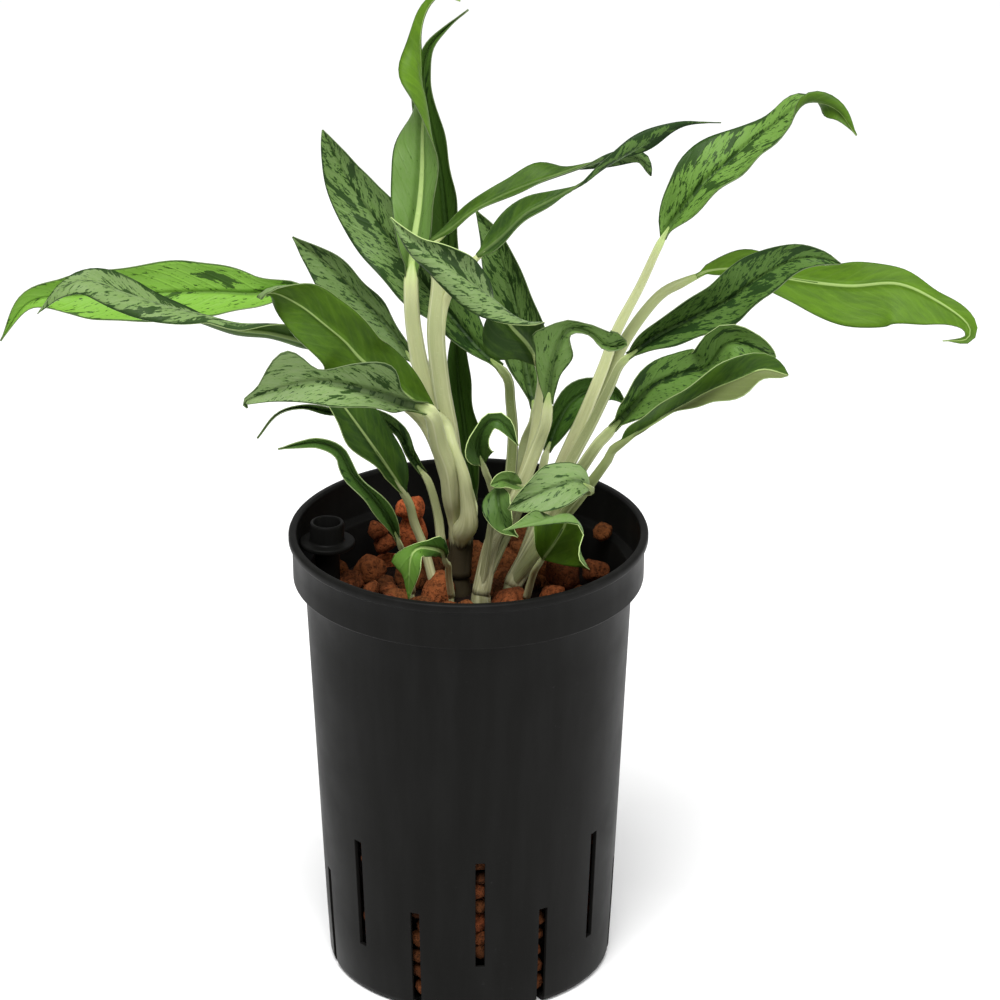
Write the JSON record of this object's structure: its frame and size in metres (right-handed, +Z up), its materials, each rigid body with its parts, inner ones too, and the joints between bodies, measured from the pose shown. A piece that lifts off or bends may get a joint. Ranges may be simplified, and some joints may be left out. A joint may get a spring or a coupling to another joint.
{
  "type": "potted chinese evergreen",
  "caption": "Chinese evergreen with long silver-mottled leaves on upright stalks, rooted in expanded clay in a tall slotted culture pot that has a water gauge socket.",
  "frame": {"origin": "middle of the pot's flat base, on the surface that it stands on", "axes": "+Z up along the pot's axis, -Y towards the side that the plant faces, +X to that viewer's right"},
  "size_m": [0.3979, 0.1515, 0.4002],
  "materials": {
    "pot_plastic": "near black, matte, slightly worn",
    "expanded_clay": "rough fired clay, red brown",
    "stalk": "smooth, cream to pale green",
    "leaf": "satin, silver green above with dark green marks, plain green below"
  },
  "bodies": {
    "root": {"pot": "pot_plastic", "gauge_socket": "pot_plastic", "clay_pebbles": "expanded_clay", "shoot_left": "stalk", "shoot_centre": "stalk", "shoot_right": "stalk", "shoot_low": "stalk", "shoot_narrow": "stalk", "shoot_front": "stalk", "shoot_pale": "stalk", "leaf_left_far": "leaf", "leaf_left_twisted": "leaf", "leaf_left_broad": "leaf", "leaf_left_front": "leaf", "leaf_left_back": "leaf", "leaf_left_thin": "leaf", "leaf_left_low": "leaf", "leaf_left_narrow": "leaf", "leaf_young_front": "leaf", "leaf_tall": "leaf", "leaf_tall_back": "leaf", "leaf_upper_ribbon": "leaf", "leaf_back_dark": "leaf", "leaf_back_mottled": "leaf", "leaf_back_right": "leaf", "leaf_centre_arched": "leaf", "leaf_centre_bright": "leaf", "leaf_lower_ribbon": "leaf", "leaf_young_curly": "leaf", "leaf_young_small": "leaf", "leaf_young_centre": "leaf", "leaf_right_high": "leaf", "leaf_right_far": "leaf", "leaf_right_mottled": "leaf", "leaf_right_curled": "leaf", "leaf_right_under": "leaf", "leaf_right_back": "leaf", "leaf_young_silver": "leaf", "leaf_young_pale": "leaf"}
  },
  "joints": []
}
